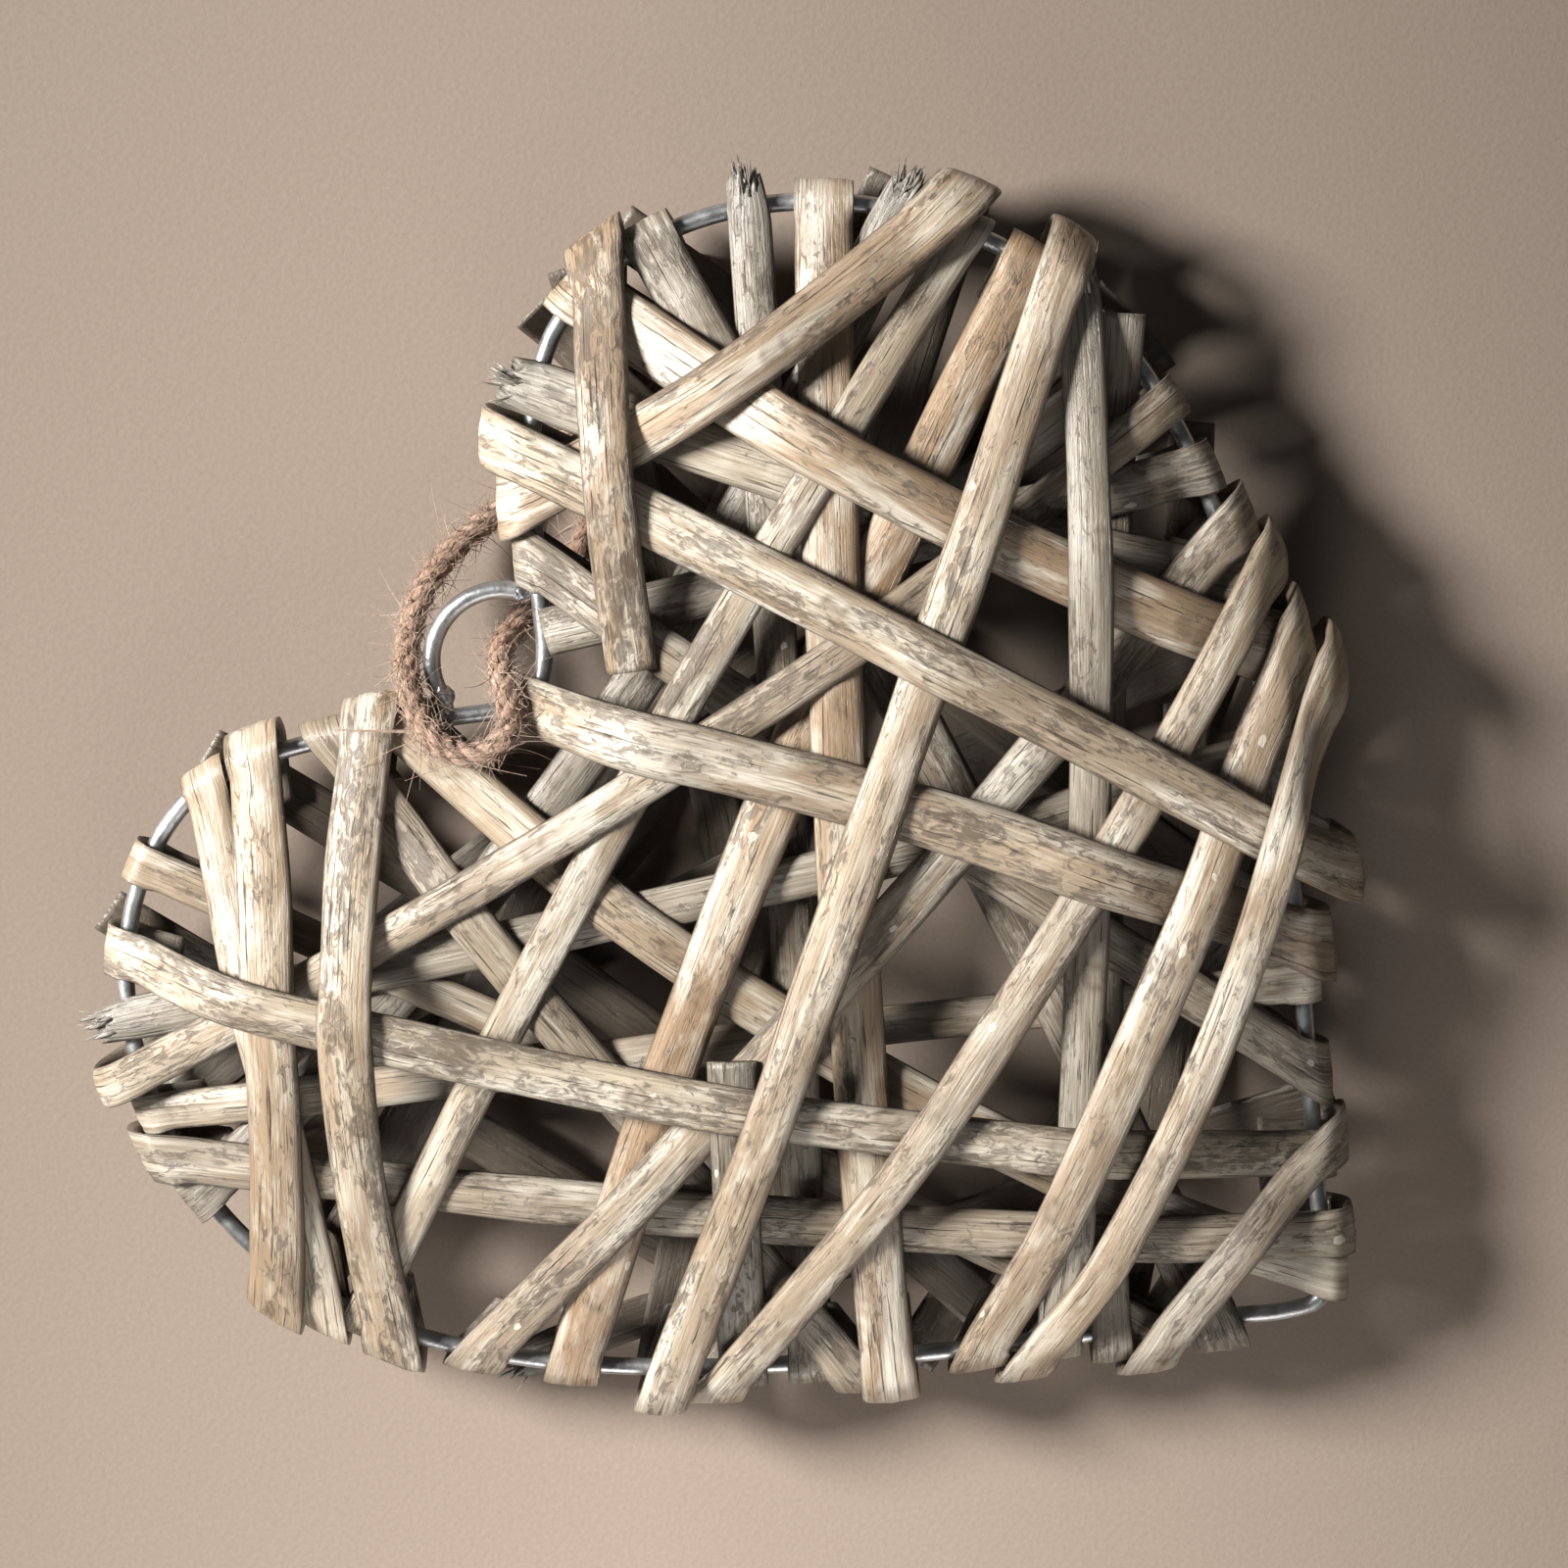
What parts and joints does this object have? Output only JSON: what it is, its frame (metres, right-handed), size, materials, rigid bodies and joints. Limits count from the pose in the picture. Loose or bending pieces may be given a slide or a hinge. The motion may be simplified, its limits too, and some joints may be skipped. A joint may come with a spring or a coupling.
{
  "type": "hanging heart decoration",
  "caption": "Hanging heart of bent wire wound with split willow strips, with a wire eye at the notch and a loop of jute twine",
  "frame": {"origin": "under the middle of the wood and wire, on the surface that the heart lies on", "axes": "+Y from the tip to the notch, +Z out of the front face, +X to the right seen from the front"},
  "size_m": [0.277, 0.2578, 0.0515],
  "materials": {
    "willow": "bare, weathered",
    "willow_back": "bare, weathered",
    "wire": "galvanised",
    "jute": "twisted, hairy"
  },
  "bodies": {
    "root": {"wire_heart": "wire", "wire_eye": "wire", "willow_strip_front_01": "willow", "willow_strip_front_02": "willow", "willow_strip_front_03": "willow", "willow_strip_front_04": "willow", "willow_strip_front_05": "willow", "willow_strip_front_06": "willow", "willow_strip_front_07": "willow", "willow_strip_front_08": "willow", "willow_strip_front_09": "willow", "willow_strip_front_10": "willow", "willow_strip_front_11": "willow", "willow_strip_front_12": "willow", "willow_strip_front_13": "willow", "willow_strip_front_14": "willow", "willow_strip_front_15": "willow", "willow_strip_front_16": "willow", "willow_strip_front_17": "willow", "willow_strip_front_18": "willow", "willow_strip_front_19": "willow", "willow_strip_front_20": "willow", "willow_strip_front_21": "willow", "willow_strip_front_22": "willow", "willow_strip_front_23": "willow", "willow_strip_front_24": "willow", "willow_strip_front_25": "willow", "willow_strip_front_26": "willow", "willow_strip_front_27": "willow", "willow_strip_front_28": "willow", "willow_strip_front_29": "willow", "willow_strip_front_30": "willow", "willow_strip_front_31": "willow", "willow_strip_front_32": "willow", "willow_strip_front_33": "willow", "willow_strip_front_34": "willow", "willow_strip_back_01": "willow_back", "willow_strip_back_02": "willow_back", "willow_strip_back_03": "willow_back", "willow_strip_back_04": "willow_back", "willow_strip_back_05": "willow_back", "willow_strip_back_06": "willow_back", "willow_strip_back_07": "willow_back", "willow_strip_back_08": "willow_back", "willow_strip_back_09": "willow_back", "willow_strip_back_10": "willow_back", "willow_strip_back_11": "willow_back", "willow_strip_back_12": "willow_back", "willow_strip_back_13": "willow_back", "jute_twine": "jute", "twine_knot": "jute"}
  },
  "joints": []
}
